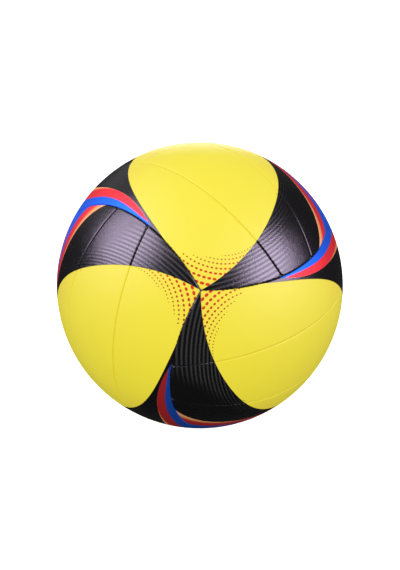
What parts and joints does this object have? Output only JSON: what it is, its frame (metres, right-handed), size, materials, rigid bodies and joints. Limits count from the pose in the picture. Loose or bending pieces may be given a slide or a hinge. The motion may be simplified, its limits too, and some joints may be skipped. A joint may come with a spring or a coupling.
{
  "type": "volleyball",
  "caption": "Air-filled ball with a padded cover of stitched curved strips, parallel on each face and square to those next to them, over a rubber bladder with a needle valve.",
  "frame": {"origin": "centre of the ball", "axes": "+Z out through the middle of the top face, +X through the middle of the right face, +Y through the middle of the back face, where the valve is; the picture looks from between +X, -Y and +Z"},
  "size_m": [0.21, 0.2099, 0.21],
  "materials": {
    "synthetic_leather": "satin",
    "foam": "matte",
    "lining_cloth": "matte",
    "thread": "matte",
    "bladder_rubber": "matte",
    "valve_rubber": "matte",
    "core_rubber": "matte"
  },
  "bodies": {
    "root": {"cover_top_1": "synthetic_leather", "cover_top_2": "synthetic_leather", "cover_top_3": "synthetic_leather", "cover_front_1": "synthetic_leather", "cover_front_2": "synthetic_leather", "cover_front_3": "synthetic_leather", "cover_right_1": "synthetic_leather", "cover_right_2": "synthetic_leather", "cover_right_3": "synthetic_leather", "cover_bottom_1": "synthetic_leather", "cover_bottom_2": "synthetic_leather", "cover_bottom_3": "synthetic_leather", "cover_back_1": "synthetic_leather", "cover_back_2": "synthetic_leather", "cover_back_3": "synthetic_leather", "cover_left_1": "synthetic_leather", "cover_left_2": "synthetic_leather", "cover_left_3": "synthetic_leather", "foam_top_1": "foam", "foam_top_2": "foam", "foam_top_3": "foam", "foam_front_1": "foam", "foam_front_2": "foam", "foam_front_3": "foam", "foam_right_1": "foam", "foam_right_2": "foam", "foam_right_3": "foam", "foam_bottom_1": "foam", "foam_bottom_2": "foam", "foam_bottom_3": "foam", "foam_back_1": "foam", "foam_back_2": "foam", "foam_back_3": "foam", "foam_left_1": "foam", "foam_left_2": "foam", "foam_left_3": "foam", "lining_top_1": "lining_cloth", "lining_top_2": "lining_cloth", "lining_top_3": "lining_cloth", "lining_front_1": "lining_cloth", "lining_front_2": "lining_cloth", "lining_front_3": "lining_cloth", "lining_right_1": "lining_cloth", "lining_right_2": "lining_cloth", "lining_right_3": "lining_cloth", "lining_bottom_1": "lining_cloth", "lining_bottom_2": "lining_cloth", "lining_bottom_3": "lining_cloth", "lining_back_1": "lining_cloth", "lining_back_2": "lining_cloth", "lining_back_3": "lining_cloth", "lining_left_1": "lining_cloth", "lining_left_2": "lining_cloth", "lining_left_3": "lining_cloth", "seam_thread": "thread", "bladder": "bladder_rubber", "valve_patch": "lining_cloth", "valve_body": "valve_rubber", "valve_core": "core_rubber"}
  },
  "joints": []
}
